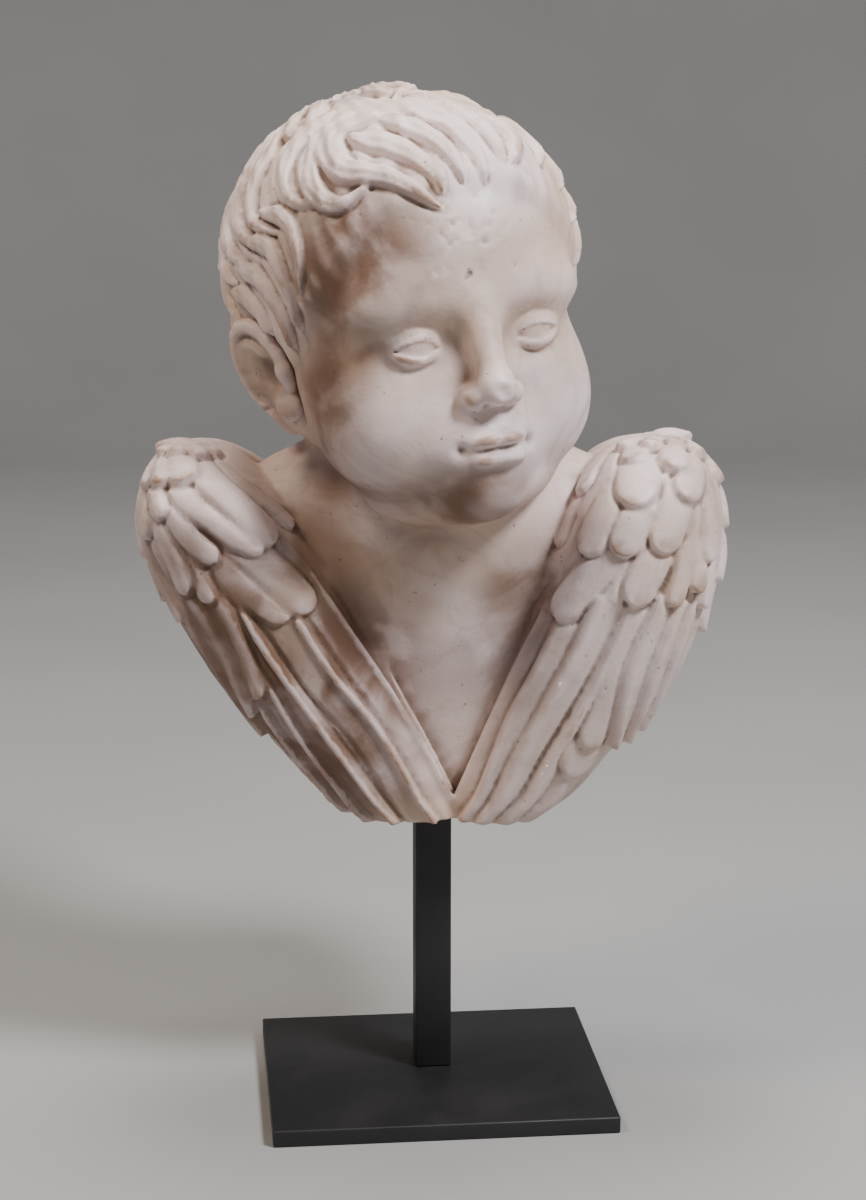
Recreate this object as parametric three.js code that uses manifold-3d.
// Marble bust of a winged child, a putto, on a square steel post and a flat steel plate.
// Millimetres, +Z up, the child faces -Y, origin in the middle of the plate's underside.
import * as THREE from 'three';
import { mergeVertices } from 'three/addons/utils/BufferGeometryUtils.js';
import Module from 'manifold-3d';

const wasm = await Module();
wasm.setup();

// Stand
const PLATE_WIDTH = 190;
const PLATE_DEPTH = 162;
const PLATE_THICKNESS = 9.5;
const PLATE_EDGE_BREAK = 0.8;
const POST_SIDE = 20;
const POST_LENGTH = 153.9;
const POST_EDGE_BREAK = 0.8;
const POST_SET_BACK = 8;
const SEAT_GAP = 0.3;

// Bust
const BUST_HEIGHT = 400;
const BUST_TURN_DEGREES = -5.7;

// The carving is laid out on a grid of 400 squares to the bust's height.
// Its frame has the post's axis as z, the flat underside at 0, x to the child's left and -y in front.
const GRID_SQUARES = 400;
const SQUARE = BUST_HEIGHT / GRID_SQUARES;

// Head: its middle on the grid, its height in squares, and how it is held
const HEAD_MIDDLE = new THREE.Vector3(-11, -13, 282);
const HEAD_SQUARES = 230;
const HEAD_YAW = 23;
const HEAD_ROLL = -5.5;
const HEAD_PITCH = -3;

// Wings: the height where the rounded top starts, how high it rises, and how square the forms are
const LEFT_WING = -1;
const RIGHT_WING = 1;
const CAP_START = 166;
const CAP_RISE = { [LEFT_WING]: 37, [RIGHT_WING]: 40 };
const CAP_SQUARENESS = 2.4;
const WING_SQUARENESS = 2.5;
const WING_BOTTOM = -12;

// The V of the chest: its foot, and where each wing's inner edge is at the height of the caps
const V_FOOT_X = 12;
const V_FOOT_HEIGHT = 14;
const V_TOP = { [LEFT_WING]: -74, [RIGHT_WING]: 70 };
const V_BOW = { [LEFT_WING]: 8, [RIGHT_WING]: 2 };

// Outer line of each wing: height, reach from the post's axis, half depth
const WING_LINE = {
  [LEFT_WING]: [
    [-20, 40, 30],
    [0, 47, 36],
    [14, 60, 42],
    [34, 79, 48],
    [66, 108, 56],
    [100, 131, 62],
    [123, 143, 65],
    [146, 153, 66],
    [168, 158, 66],
  ],
  [RIGHT_WING]: [
    [-20, 52, 30],
    [0, 63, 36],
    [14, 81, 42],
    [34, 97, 48],
    [66, 122, 56],
    [100, 141, 62],
    [123, 149, 65],
    [146, 155, 66],
    [168, 155, 66],
  ],
};

// Chest and shoulders: height, half width, half depth, middle of the depth
const TRUNK_LINE = [
  [-20, 54, 29, 8],
  [0, 60, 30, 8],
  [40, 80, 38, 10],
  [100, 100, 47, 10],
  [150, 110, 52, 9],
  [176, 108, 53, 10],
  [194, 92, 47, 12],
  [206, 62, 38, 15],
  [214, 30, 24, 15],
];
const TRUNK_TOP = 222;
const TRUNK_SLOPE = 0.9;
const NECK = { low: [-2, 8, 180], high: [-10, 2, 250], lowRadius: 60, highRadius: 54, blend: 26 };

// Fields: each gives about how far a point lies outside a form, and less than 0 inside it
function ellipsoid(p, centre, radii) {
  let near = 0;
  let slope = 0;
  for (let i = 0; i < 3; i += 1) {
    const share = (p[i] - centre[i]) / radii[i];
    near += share * share;
    slope += (share / radii[i]) ** 2;
  }
  const length = Math.sqrt(near);
  return (length * (length - 1)) / Math.max(Math.sqrt(slope), 1e-6);
}

function taperedRod(p, from, to, fromRadius, toRadius) {
  const axis = to.map((value, i) => value - from[i]);
  const offset = p.map((value, i) => value - from[i]);
  const along = dot(axis, offset) / dot(axis, axis);
  const t = THREE.MathUtils.clamp(along, 0, 1);
  const away = offset.map((value, i) => value - axis[i] * t);
  return Math.sqrt(dot(away, away)) - THREE.MathUtils.lerp(fromRadius, toRadius, t);
}

function dot(a, b) {
  return a[0] * b[0] + a[1] * b[1] + a[2] * b[2];
}

function join(a, b, blend) {
  const overlap = Math.max(blend - Math.abs(a - b), 0) / blend;
  return Math.min(a, b) - (overlap * overlap * blend) / 4;
}

function carve(a, b, blend) {
  return -join(-a, b, blend);
}

// A line of measures read at any height, as a smooth curve through its rows
function readLine(line, height) {
  const last = line.length - 1;
  if (height <= line[0][0]) {
    return line[0].slice(1);
  }
  if (height >= line[last][0]) {
    return line[last].slice(1);
  }
  const row = line.findIndex((entry) => entry[0] > height) - 1;
  const before = line[Math.max(row - 1, 0)];
  const here = line[row];
  const next = line[row + 1];
  const after = line[Math.min(row + 2, last)];
  const t = (height - here[0]) / (next[0] - here[0]);
  return here.slice(1).map((value, i) => {
    const startSlope = (next[i + 1] - before[i + 1]) / (next[0] - before[0]);
    const endSlope = (after[i + 1] - value) / (after[0] - here[0]);
    const span = next[0] - here[0];
    const ease = t * t * (3 - 2 * t);
    const startPart = (t - 2 * t * t + t * t * t) * span * startSlope;
    const endPart = (t * t * t - t * t) * span * endSlope;
    return value + (next[i + 1] - value) * ease + startPart + endPart;
  });
}

// Head: a chubby child's head in shares of its own height, facing -y, x mirrored
const SKULL = [
  { centre: [0, 0.06, 0.11], radii: [0.375, 0.44, 0.37], blend: 0.1 },
  { centre: [0, -0.16, 0.13], radii: [0.29, 0.24, 0.27], blend: 0.1 },
  { centre: [0, 0.03, -0.12], radii: [0.34, 0.37, 0.26], blend: 0.1 },
];
const FLESH = [
  { centre: [0, -0.15, -0.19], radii: [0.29, 0.24, 0.265], blend: 0.08 },
  { centre: [0.165, -0.205, -0.215], radii: [0.155, 0.16, 0.175], blend: 0.07 },
  { centre: [0, -0.335, -0.395], radii: [0.085, 0.075, 0.07], blend: 0.09 },
  { centre: [0, -0.17, -0.4], radii: [0.215, 0.17, 0.095], blend: 0.06 },
  { centre: [0, -0.335, -0.285], radii: [0.125, 0.095, 0.095], blend: 0.06 },
  { centre: [0.14, -0.33, 0.035], radii: [0.13, 0.07, 0.05], blend: 0.06 },
];
const EYE_SOCKET = { centre: [0.13, -0.425, -0.055], radii: [0.1, 0.06, 0.055], blend: 0.06 };
const FEATURES = [
  { centre: [0.15, -0.318, -0.06], radii: [0.082, 0.082, 0.08], blend: 0.02 },
  { centre: [0, -0.437, -0.165], radii: [0.044, 0.044, 0.042], blend: 0.03 },
  { centre: [0.048, -0.408, -0.18], radii: [0.034, 0.04, 0.03], blend: 0.02 },
  { centre: [0.028, -0.42, -0.27], radii: [0.05, 0.03, 0.02], blend: 0.02 },
  { centre: [0, -0.412, -0.32], radii: [0.058, 0.03, 0.022], blend: 0.02 },
];
const NOSE_BRIDGE = { top: [0, -0.385, 0.015], tip: [0, -0.425, -0.14], radii: [0.03, 0.036], blend: 0.05 };

// Hair covers the skull outside an oval around the face, and ends at the nape
const HAIR_THICKNESS = 0.014;
const HAIRLINE = { middle: -0.15, halfWidth: 0.335, halfHeight: 0.41, edge: 0.12 };
const NAPE_HEIGHT = -0.3;

function joinAll(p, start, forms) {
  return forms.reduce((d, form) => join(d, ellipsoid(p, form.centre, form.radii), form.blend), start);
}

function hairCover(p) {
  const across = p[0] / HAIRLINE.halfWidth;
  const up = (p[2] - HAIRLINE.middle) / HAIRLINE.halfHeight;
  const outsideFace = p[1] > 0 ? 1 : Math.sqrt(across * across + up * up) - 1;
  const aboveNape = (p[2] - NAPE_HEIGHT) / HAIRLINE.edge;
  return THREE.MathUtils.clamp(Math.min(outsideFace / HAIRLINE.edge, aboveNape), 0, 1);
}

function skullField(p) {
  const mirrored = [Math.abs(p[0]), p[1], p[2]];
  return joinAll(mirrored, 1, SKULL) - HAIR_THICKNESS * hairCover(p);
}

function headField(p) {
  const mirrored = [Math.abs(p[0]), p[1], p[2]];
  let d = joinAll(mirrored, skullField(p), FLESH);
  d = carve(d, ellipsoid(mirrored, EYE_SOCKET.centre, EYE_SOCKET.radii), EYE_SOCKET.blend);
  d = join(d, taperedRod(p, NOSE_BRIDGE.top, NOSE_BRIDGE.tip, ...NOSE_BRIDGE.radii), NOSE_BRIDGE.blend);
  return joinAll(mirrored, d, FEATURES);
}

const headTurn = new THREE.Matrix4()
  .makeRotationZ(THREE.MathUtils.degToRad(HEAD_YAW))
  .multiply(new THREE.Matrix4().makeRotationY(THREE.MathUtils.degToRad(HEAD_ROLL)))
  .multiply(new THREE.Matrix4().makeRotationX(THREE.MathUtils.degToRad(HEAD_PITCH)));

function headToGrid(point) {
  return point.clone().multiplyScalar(HEAD_SQUARES).applyMatrix4(headTurn).add(HEAD_MIDDLE);
}

// Trunk: chest, shoulders and neck, in grid squares
function trunkField(p) {
  const [halfWidth, halfDepth, middle] = readLine(TRUNK_LINE, p[2]);
  const across = p[0] / halfWidth;
  const deep = (p[1] - middle) / halfDepth;
  const near = Math.sqrt(across * across + deep * deep);
  const slope = Math.sqrt((across / halfWidth) ** 2 + (deep / halfDepth) ** 2);
  const sides = ((near * (near - 1)) / Math.max(slope, 1e-6)) * TRUNK_SLOPE;
  const chest = Math.max(sides, p[2] - TRUNK_TOP);
  return join(chest, taperedRod(p, NECK.low, NECK.high, NECK.lowRadius, NECK.highRadius), NECK.blend);
}

// The place where a ray from a centre leaves a field's form, walked in from outside it
function surfaceAlong(field, centre, direction, reach, step) {
  let far = reach;
  let near = reach;
  const at = (r) => field([
    centre[0] + direction.x * r,
    centre[1] + direction.y * r,
    centre[2] + direction.z * r,
  ]);
  while (near > 0 && at(near) > 0) {
    far = near;
    near -= step;
  }
  for (let i = 0; i < 24; i += 1) {
    const middle = (near + far) / 2;
    if (at(middle) > 0) {
      far = middle;
    } else {
      near = middle;
    }
  }
  return far;
}

// A sphere of the given counts whose points are moved to where the place function puts them
function mouldedSphere(around, rings, place) {
  const geometry = new THREE.SphereGeometry(1, around, rings);
  const points = geometry.attributes.position;
  const direction = new THREE.Vector3();
  for (let i = 0; i < points.count; i += 1) {
    direction.fromBufferAttribute(points, i);
    const fromPole = Math.acos(THREE.MathUtils.clamp(direction.y, -1, 1)) / Math.PI;
    const turn = Math.atan2(direction.z, direction.x);
    const moved = place(turn, fromPole);
    points.setXYZ(i, moved.x, moved.y, moved.z);
  }
  return geometry;
}

// A closed solid from a geometry, its shared points merged and its faces turned outwards
function solid(geometry) {
  const bare = geometry.clone();
  bare.deleteAttribute('normal');
  bare.deleteAttribute('uv');
  const merged = mergeVertices(bare, 1e-4);
  const points = merged.attributes.position;
  const corners = [];
  const order = merged.index.array;
  for (let i = 0; i < order.length; i += 3) {
    const [a, b, c] = [order[i], order[i + 1], order[i + 2]];
    if (a !== b && b !== c && c !== a) {
      corners.push(a, b, c);
    }
  }
  if (signedVolume(points, corners) < 0) {
    corners.reverse();
  }
  const mesh = new wasm.Mesh({
    numProp: 3,
    vertProperties: new Float32Array(points.array),
    triVerts: new Uint32Array(corners),
  });
  return new wasm.Manifold(mesh);
}

function signedVolume(points, corners) {
  const [a, b, c] = [new THREE.Vector3(), new THREE.Vector3(), new THREE.Vector3()];
  let sum = 0;
  for (let i = 0; i < corners.length; i += 3) {
    a.fromBufferAttribute(points, corners[i]);
    b.fromBufferAttribute(points, corners[i + 1]);
    c.fromBufferAttribute(points, corners[i + 2]);
    sum += a.dot(b.cross(c)) / 6;
  }
  return sum;
}

function geometryOf(manifold) {
  const mesh = manifold.getMesh();
  const geometry = new THREE.BufferGeometry();
  geometry.setAttribute('position', new THREE.BufferAttribute(mesh.vertProperties, mesh.numProp));
  geometry.setIndex(new THREE.BufferAttribute(mesh.triVerts, 1));
  return geometry;
}

// The outer skin alone, so that no pocket stays sealed where feathers or locks cross
function outerSkin(geometry) {
  const points = geometry.attributes.position;
  const order = geometry.index.array;
  const leader = Array.from({ length: points.count }, (_, i) => i);
  const leaderOf = (point) => {
    let found = point;
    while (leader[found] !== found) {
      leader[found] = leader[leader[found]];
      found = leader[found];
    }
    return found;
  };
  for (let i = 0; i < order.length; i += 3) {
    const first = leaderOf(order[i]);
    leader[leaderOf(order[i + 1])] = first;
    leader[leaderOf(order[i + 2])] = first;
  }
  const skins = new Map();
  for (let i = 0; i < order.length; i += 3) {
    const skin = leaderOf(order[i]);
    const corners = skins.get(skin) ?? [];
    corners.push(order[i], order[i + 1], order[i + 2]);
    skins.set(skin, corners);
  }
  const largest = [...skins.values()].reduce((best, corners) => (
    signedVolume(points, corners) > signedVolume(points, best) ? corners : best
  ));
  geometry.setIndex(largest);
  return geometry;
}

// Head mesh: rings run out from the mouth and nose, close together there and wide apart behind
const HEAD_AROUND = 30;
const HEAD_RINGS = 24;
const HEAD_RAY_CENTRE = [0, -0.08, -0.06];
const FACE_CROWDING = 1.6;

function headSolid() {
  const pole = new THREE.Vector3(0, -1, -0.42).normalize();
  const side = new THREE.Vector3(1, 0, 0);
  const up = new THREE.Vector3().crossVectors(side, pole);
  const centre = new THREE.Vector3(...HEAD_RAY_CENTRE);
  const geometry = mouldedSphere(HEAD_AROUND, HEAD_RINGS, (turn, fromPole) => {
    const angle = Math.PI * fromPole ** FACE_CROWDING;
    const direction = pole.clone().multiplyScalar(Math.cos(angle));
    direction.addScaledVector(side, Math.sin(angle) * Math.cos(turn));
    direction.addScaledVector(up, Math.sin(angle) * Math.sin(turn));
    const reach = surfaceAlong(headField, HEAD_RAY_CENTRE, direction, 0.75, 0.01);
    return headToGrid(centre.clone().addScaledVector(direction, reach));
  });
  return solid(geometry);
}

// Ears: a rim, the bowl inside it and the lobe. The right one lies closer to the head.
const LEFT_EAR = { place: [-0.372, 0.01, -0.095], splay: -28 };
const RIGHT_EAR = { place: [0.368, 0.035, -0.095], splay: -12 };
const EAR_RIM = { radius: 0.066, thickness: 0.024, stretch: 1.5, depth: 1 };
const EAR_BOWL = { radii: [0.03, 0.06, 0.1] };
const EAR_LOBE = { radii: [0.03, 0.042, 0.042], drop: 0.1, forward: 0.02 };
const EAR_LEAN = -20;
const EAR_TILT = 9;

function earSolid(ear) {
  const rim = new THREE.TorusGeometry(EAR_RIM.radius, EAR_RIM.thickness, 4, 11);
  rim.scale(1, EAR_RIM.stretch, EAR_RIM.depth);
  rim.rotateX(Math.PI / 2);
  rim.rotateZ(Math.PI / 2);
  const bowl = new THREE.SphereGeometry(1, 7, 5);
  bowl.scale(...EAR_BOWL.radii);
  const lobe = new THREE.SphereGeometry(1, 6, 4);
  lobe.scale(...EAR_LOBE.radii);
  lobe.translate(0, -EAR_LOBE.forward, -EAR_LOBE.drop);
  const pieces = [rim, bowl, lobe].map((geometry) => {
    const side = Math.sign(ear.place[0]);
    geometry.rotateX(THREE.MathUtils.degToRad(EAR_LEAN));
    geometry.rotateY(THREE.MathUtils.degToRad(EAR_TILT));
    geometry.rotateZ(THREE.MathUtils.degToRad(ear.splay));
    geometry.scale(side, 1, 1);
    geometry.translate(...ear.place);
    const points = geometry.attributes.position;
    const point = new THREE.Vector3();
    for (let i = 0; i < points.count; i += 1) {
      point.fromBufferAttribute(points, i);
      const moved = headToGrid(point);
      points.setXYZ(i, moved.x, moved.y, moved.z);
    }
    return solid(geometry);
  });
  return pieces.reduce((whole, piece) => whole.add(piece));
}

// Trunk mesh
function trunkSolid() {
  const centre = [0, 5, 100];
  const geometry = mouldedSphere(18, 12, (turn, fromPole) => {
    const angle = Math.PI * fromPole;
    const flat = Math.sin(angle);
    const direction = new THREE.Vector3(Math.cos(turn) * flat, Math.sin(turn) * flat, Math.cos(angle));
    const reach = surfaceAlong(trunkField, centre, direction, 200, 2);
    return new THREE.Vector3(...centre).addScaledVector(direction, reach);
  });
  return solid(geometry);
}

// A wing's section at a height: its middle, half width and half depth
function wingSection(side, height) {
  const level = Math.min(height, CAP_START);
  const [reach, halfDepth] = readLine(WING_LINE[side], level);
  const up = THREE.MathUtils.clamp((level - V_FOOT_HEIGHT) / (CAP_START - V_FOOT_HEIGHT), -0.3, 1);
  const bow = up > 0 ? V_BOW[side] * 4 * up * (1 - up) : 0;
  const innerEdge = V_FOOT_X + up * (V_TOP[side] - V_FOOT_X) - side * bow;
  return {
    middle: (side * reach + innerEdge) / 2,
    halfWidth: Math.abs(side * reach - innerEdge) / 2,
    halfDepth,
    level,
  };
}

// A point on a wing. Turn is in quarter turns: -1 inner edge, 0 front, 1 outer edge, 2 back.
// Height runs up the side and then on over the cap.
function wingPoint(side, turn, height, lift) {
  const { middle, halfWidth, halfDepth, level } = wingSection(side, height);
  const capAngle = Math.min(Math.max(height - CAP_START, 0) / CAP_RISE[side], Math.PI / 2);
  const angle = (turn * Math.PI) / 2;
  const bend = 2 / WING_SQUARENESS;
  const across = Math.sign(Math.sin(angle)) * Math.abs(Math.sin(angle)) ** bend;
  const deep = Math.sign(Math.cos(angle)) * Math.abs(Math.cos(angle)) ** bend;
  const shrink = Math.max(Math.cos(capAngle), 0) ** (2 / CAP_SQUARENESS);
  const rise = Math.sin(capAngle) ** (2 / CAP_SQUARENESS);
  return new THREE.Vector3(
    middle + side * (halfWidth + lift) * across * shrink,
    -(halfDepth + lift) * deep * shrink,
    level + (CAP_RISE[side] + lift) * rise,
  );
}

function wingSolid(side) {
  const top = CAP_START + (CAP_RISE[side] * Math.PI) / 2;
  const geometry = mouldedSphere(16, 12, (turn, fromPole) => {
    const height = WING_BOTTOM + (top - WING_BOTTOM) * (1 - fromPole);
    const closed = fromPole > 0.999;
    if (closed) {
      return new THREE.Vector3(wingSection(side, height).middle, 0, height);
    }
    return wingPoint(side, (2 * turn) / Math.PI, height, 0);
  });
  return solid(geometry);
}

// Sections of a raised ribbon: shares of the half width across, and of the height above the surface.
// A long feather's ridge lies along its inner side, on both wings.
const COVERT_SECTION = [[-1, -0.4], [-0.6, 0.95], [0.6, 0.95], [1, -0.4]];
const LONG_SECTION = [[-1, -0.4], [-0.72, 1], [0.85, 0.2], [1, -0.4]];
const LOCK_SECTION = [[-1, -0.3], [-0.25, 1], [1, -0.3]];

// Half widths and heights along a ribbon, as shares, from its root to its tip
const COVERT_STATIONS = [[0, 0.85, -0.4], [0.5, 1, 0.65], [0.86, 0.82, 1], [1, 0.3, 0.85]];
const LONG_STATIONS = [[0, 0.9, -0.4], [0.45, 1, 0.8], [1, 0.8, 1]];
const LOCK_STATIONS = [[0, 0.3, -0.3], [0.3, 0.95, 0.9], [0.72, 0.8, 1], [1, 0.1, 0.4]];
const RIBBON_ROOT_DEPTH = 4;

// A ribbon that follows a surface from one place to another and swings aside by its bow
function ribbonSolid(place, from, to, shape) {
  const step = 1e-3;
  const points = [];
  const aside = [-(to[1] - from[1]), to[0] - from[0]];
  const along = (t) => {
    const swing = shape.bow * Math.sin(Math.PI * t) + shape.curl * Math.sin(2 * Math.PI * t);
    return [0, 1].map((i) => THREE.MathUtils.lerp(from[i], to[i], t) + aside[i] * swing);
  };
  const ringSize = shape.section.length + 1;
  for (const [t, widthShare, heightShare] of shape.stations) {
    const [u, v] = along(t);
    const [u1, v1] = along(t + step);
    const middle = place(u, v, 0);
    const acrossU = place(u + step, v, 0).sub(middle).divideScalar(step);
    const acrossV = place(u, v + step, 0).sub(middle).divideScalar(step);
    const forward = place(u1, v1, 0).sub(middle).normalize();
    const outward = place(u, v, 1).sub(middle).normalize();
    const sideways = new THREE.Vector3().crossVectors(outward, forward).normalize();
    const [uu, uv, vv] = [acrossU.dot(acrossU), acrossU.dot(acrossV), acrossV.dot(acrossV)];
    const [su, sv] = [acrossU.dot(sideways), acrossV.dot(sideways)];
    const spread = uu * vv - uv * uv;
    const stepU = (su * vv - sv * uv) / spread;
    const stepV = (sv * uu - su * uv) / spread;
    const halfWidth = shape.halfWidth * widthShare;
    for (const [share, rise] of shape.section) {
      const away = share * halfWidth;
      const lift = rise > 0 ? rise * heightShare * shape.height : rise * shape.height;
      points.push(place(u + stepU * away, v + stepV * away, lift));
    }
    points.push(place(u, v, -RIBBON_ROOT_DEPTH));
  }
  const corners = [];
  for (let ring = 0; ring < shape.stations.length - 1; ring += 1) {
    for (let i = 0; i < ringSize; i += 1) {
      const a = ring * ringSize + i;
      const b = ring * ringSize + ((i + 1) % ringSize);
      corners.push(a, a + ringSize, b, b, a + ringSize, b + ringSize);
    }
  }
  const lastRing = (shape.stations.length - 1) * ringSize;
  for (let i = 1; i < ringSize - 1; i += 1) {
    corners.push(0, i, i + 1);
    corners.push(lastRing, lastRing + i + 1, lastRing + i);
  }
  const geometry = new THREE.BufferGeometry().setFromPoints(points);
  geometry.setIndex(corners);
  return solid(geometry);
}

// Feather rows: kind, how many, the first and last root, the first and last tip, half width, height.
// Roots and tips are [turn, height] on the wing.
const LONG = { section: LONG_SECTION, stations: LONG_STATIONS };
const COVERT = { section: COVERT_SECTION, stations: COVERT_STATIONS };
const FEATHER_ROWS = {
  [LEFT_WING]: [
    [LONG, 5, [-0.6, 140], [0.26, 112], [-0.58, -8], [0.44, -8], 8.5, 4.5],
    [LONG, 3, [0.34, 118], [1.1, 122], [0.36, 52], [1, 50], 12.5, 6.5],
    [COVERT, 6, [-0.72, 170], [1.1, 138], [-0.84, 114], [1, 88], 13.5, 5],
    [COVERT, 7, [-0.42, 200], [1.3, 158], [-0.5, 152], [1.15, 120], 12.5, 5],
    [COVERT, 5, [-0.5, 218], [1.3, 196], [-0.4, 188], [1.1, 160], 12, 4.5],
  ],
  [RIGHT_WING]: [
    [LONG, 5, [-0.68, 130], [0.2, 134], [-0.72, -8], [0.34, -8], 8.5, 4.5],
    [LONG, 3, [0.26, 118], [1.1, 126], [0.44, 42], [1, 50], 12.5, 7],
    [COVERT, 7, [-0.72, 160], [1.1, 146], [-0.66, 126], [0.96, 108], 12.5, 5],
    [COVERT, 7, [-0.6, 190], [1.3, 176], [-0.55, 158], [1.15, 138], 12.5, 5],
    [COVERT, 5, [-0.5, 218], [1.3, 204], [-0.5, 188], [1.15, 168], 12, 4.5],
  ],
};

// Behind, both wings carry the same plain rows
const BACK_ROWS = [
  [LONG, 2, [1.45, 118], [1.9, 124], [1.45, -8], [1.95, -8], 13, 4],
  [COVERT, 2, [1.5, 160], [1.95, 160], [1.35, 104], [1.95, 112], 14, 5],
  [COVERT, 2, [1.6, 204], [1.95, 204], [1.5, 152], [1.95, 152], 14, 4.5],
];

function featherRow(side, row) {
  const [kind, count, firstRoot, lastRoot, firstTip, lastTip, halfWidth, height] = row;
  const place = (turn, level, lift) => wingPoint(side, turn, level, lift);
  const between = (first, last, share) => (
    first.map((value, i) => THREE.MathUtils.lerp(value, last[i], share))
  );
  const section = kind.section.map(([share, rise]) => [share * side, rise]);
  const shape = { stations: kind.stations, section, bow: 0, curl: 0, halfWidth, height };
  return Array.from({ length: count }, (_, i) => {
    const share = i / (count - 1);
    const root = between(firstRoot, lastRoot, share);
    const tip = between(firstTip, lastTip, share);
    return ribbonSolid(place, root, tip, shape);
  });
}

function featherSolids() {
  return [LEFT_WING, RIGHT_WING].flatMap((side) => (
    [...FEATHER_ROWS[side], ...BACK_ROWS].flatMap((row) => featherRow(side, row))
  ));
}

// Hair locks. A place on the head is a turn about the crown and an angle down from it, in degrees.
const CROWN = new THREE.Vector3(0, 0.55, 0.84).normalize();
const CROWN_SIDE = new THREE.Vector3(1, 0, 0);
const CROWN_FRONT = new THREE.Vector3().crossVectors(CROWN_SIDE, CROWN);
const HAIR_RAY_CENTRE = [0, 0.03, 0.02];

function hairPoint(turn, down, lift) {
  const [a, b] = [THREE.MathUtils.degToRad(turn), THREE.MathUtils.degToRad(down)];
  const direction = CROWN.clone().multiplyScalar(Math.cos(b));
  direction.addScaledVector(CROWN_FRONT, Math.sin(b) * Math.cos(a));
  direction.addScaledVector(CROWN_SIDE, Math.sin(b) * Math.sin(a));
  const reach = surfaceAlong(headField, HAIR_RAY_CENTRE, direction, 0.75, 0.02);
  const middle = new THREE.Vector3(...HAIR_RAY_CENTRE);
  return headToGrid(middle.addScaledVector(direction, reach + lift / HEAD_SQUARES));
}

// Rows of locks from the crown down: how many go round, where they start and end, and the first's turn
const LOCK_ROWS = [
  { count: 5, from: 8, to: 36, start: 36, halfWidth: 9, height: 4 },
  { count: 8, from: 30, to: 60, start: 22, halfWidth: 9, height: 5 },
  { count: 9, from: 54, to: 84, start: 20, halfWidth: 9, height: 5 },
  { count: 10, from: 78, to: 106, start: 18, halfWidth: 8.5, height: 5 },
];
const LOCK_SWEEP = 12;
const LOCK_BOW = 0.1;
const LOCK_LIMIT = 0.35;

// Locks swept across the forehead: where each starts and ends, and how it bends on the way
const FORELOCK_SPREAD = 48;
const FORELOCKS = [
  { from: [-42, 46], to: [-38, 88], bow: 0.22, curl: 0 },
  { from: [-26, 54], to: [-19, 91], bow: 0.2, curl: 0.05 },
  { from: [-17, 58], to: [-3, 97], bow: 0.16, curl: 0.08 },
  { from: [-7, 62], to: [6, 96], bow: 0.14, curl: 0.06 },
  { from: [6, 62], to: [17, 92], bow: 0.1, curl: 0.06 },
  { from: [22, 58], to: [27, 90], bow: -0.1, curl: 0.06 },
  { from: [38, 56], to: [40, 88], bow: -0.12, curl: 0.06 },
];
const FORELOCK_HALF_WIDTH = 8;
const FORELOCK_HEIGHT = 5;

function lockSolid(from, to, bow, curl, halfWidth, height) {
  const shape = { section: LOCK_SECTION, stations: LOCK_STATIONS, bow, curl, halfWidth, height };
  return ribbonSolid(hairPoint, from, to, shape);
}

function isHair(turn, down) {
  const onHead = hairPoint(turn, down, 0).sub(HEAD_MIDDLE);
  onHead.applyMatrix4(headTurn.clone().invert()).divideScalar(HEAD_SQUARES);
  return hairCover([onHead.x, onHead.y, onHead.z]) > LOCK_LIMIT;
}

function lockSolids() {
  const locks = FORELOCKS.map((lock) => (
    lockSolid(lock.from, lock.to, lock.bow, lock.curl, FORELOCK_HALF_WIDTH, FORELOCK_HEIGHT)
  ));
  for (const row of LOCK_ROWS) {
    for (let i = 0; i < row.count; i += 1) {
      const turn = row.start + (360 * i) / row.count;
      const fromFront = Math.abs(THREE.MathUtils.euclideanModulo(turn + 180, 360) - 180);
      const behindForelocks = fromFront > FORELOCK_SPREAD || row.to < FORELOCKS[0].to[1] / 1.4;
      const way = i % 2 === 0 ? 1 : -1;
      const to = [turn + LOCK_SWEEP * way, row.to];
      if (behindForelocks && isHair(turn, THREE.MathUtils.lerp(row.from, row.to, 0.7))) {
        locks.push(lockSolid([turn, row.from], to, LOCK_BOW * way, LOCK_BOW, row.halfWidth, row.height));
      }
    }
  }
  return locks;
}

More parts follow.
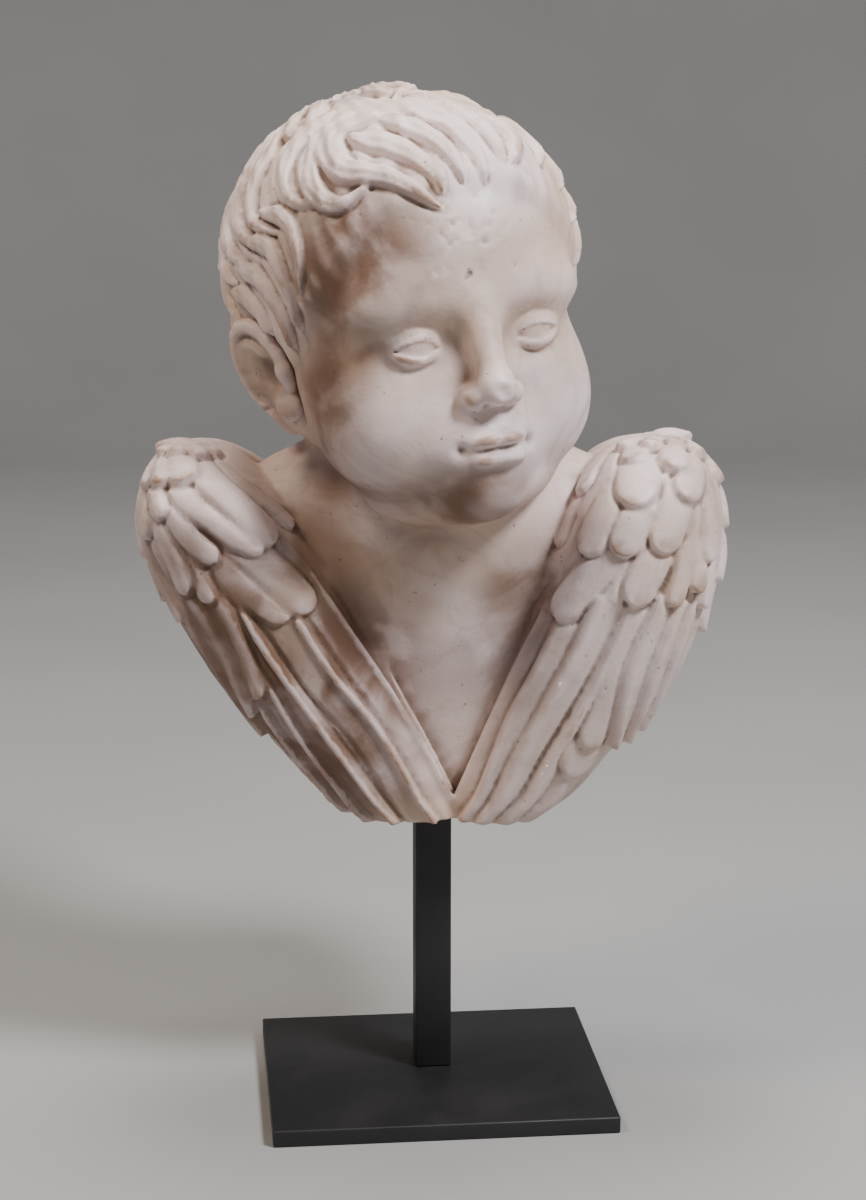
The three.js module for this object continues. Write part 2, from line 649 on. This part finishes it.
// The bust, joined into one solid, cut flat underneath and brought to millimetres
function bustGeometry() {
  const forms = [
    trunkSolid(),
    wingSolid(LEFT_WING),
    wingSolid(RIGHT_WING),
    headSolid(),
    earSolid(LEFT_EAR),
    earSolid(RIGHT_EAR),
    ...featherSolids(),
    ...lockSolids(),
  ];
  const whole = forms.reduce((joined, form) => joined.add(form));
  const room = new THREE.BoxGeometry(GRID_SQUARES * 2, GRID_SQUARES * 2, GRID_SQUARES * 2);
  room.translate(0, 0, GRID_SQUARES);
  const geometry = outerSkin(geometryOf(whole.intersect(solid(room))));
  geometry.scale(SQUARE, SQUARE, SQUARE);
  return geometry;
}

// A square bar or plate with its edges broken by a small bevel
function barGeometry(width, depth, height, edgeBreak) {
  const [x, y] = [width / 2 - edgeBreak, depth / 2 - edgeBreak];
  const outline = new THREE.Shape([
    new THREE.Vector2(-x, -y),
    new THREE.Vector2(x, -y),
    new THREE.Vector2(x, y),
    new THREE.Vector2(-x, y),
  ]);
  const geometry = new THREE.ExtrudeGeometry(outline, {
    depth: height - 2 * edgeBreak,
    bevelEnabled: true,
    bevelThickness: edgeBreak,
    bevelSize: edgeBreak,
    bevelSegments: 1,
  });
  geometry.translate(0, 0, edgeBreak);
  return geometry;
}

// Materials
const marble = new THREE.MeshStandardMaterial({ color: 0xd9d0c6, roughness: 0.45, metalness: 0 });
const platePaint = new THREE.MeshStandardMaterial({ color: 0x0c0c0d, roughness: 0.55, metalness: 0 });
const postPaint = platePaint.clone();

// Plate, post and bust, each set on the one below
const plateGeometry = barGeometry(PLATE_WIDTH, PLATE_DEPTH, PLATE_THICKNESS, PLATE_EDGE_BREAK);
const plate = new THREE.Mesh(plateGeometry, platePaint);
plate.name = 'base_plate';

const postGeometry = barGeometry(POST_SIDE, POST_SIDE, POST_LENGTH, POST_EDGE_BREAK);
const post = new THREE.Mesh(postGeometry, postPaint);
post.name = 'post';
post.position.set(0, POST_SET_BACK, PLATE_THICKNESS + SEAT_GAP);

const bust = new THREE.Mesh(bustGeometry(), marble);
bust.name = 'marble_bust';
bust.position.set(0, POST_SET_BACK, PLATE_THICKNESS + POST_LENGTH + 2 * SEAT_GAP);
bust.rotation.z = THREE.MathUtils.degToRad(BUST_TURN_DEGREES);

const statue = new THREE.Group();
statue.add(plate, post, bust);

export default statue;
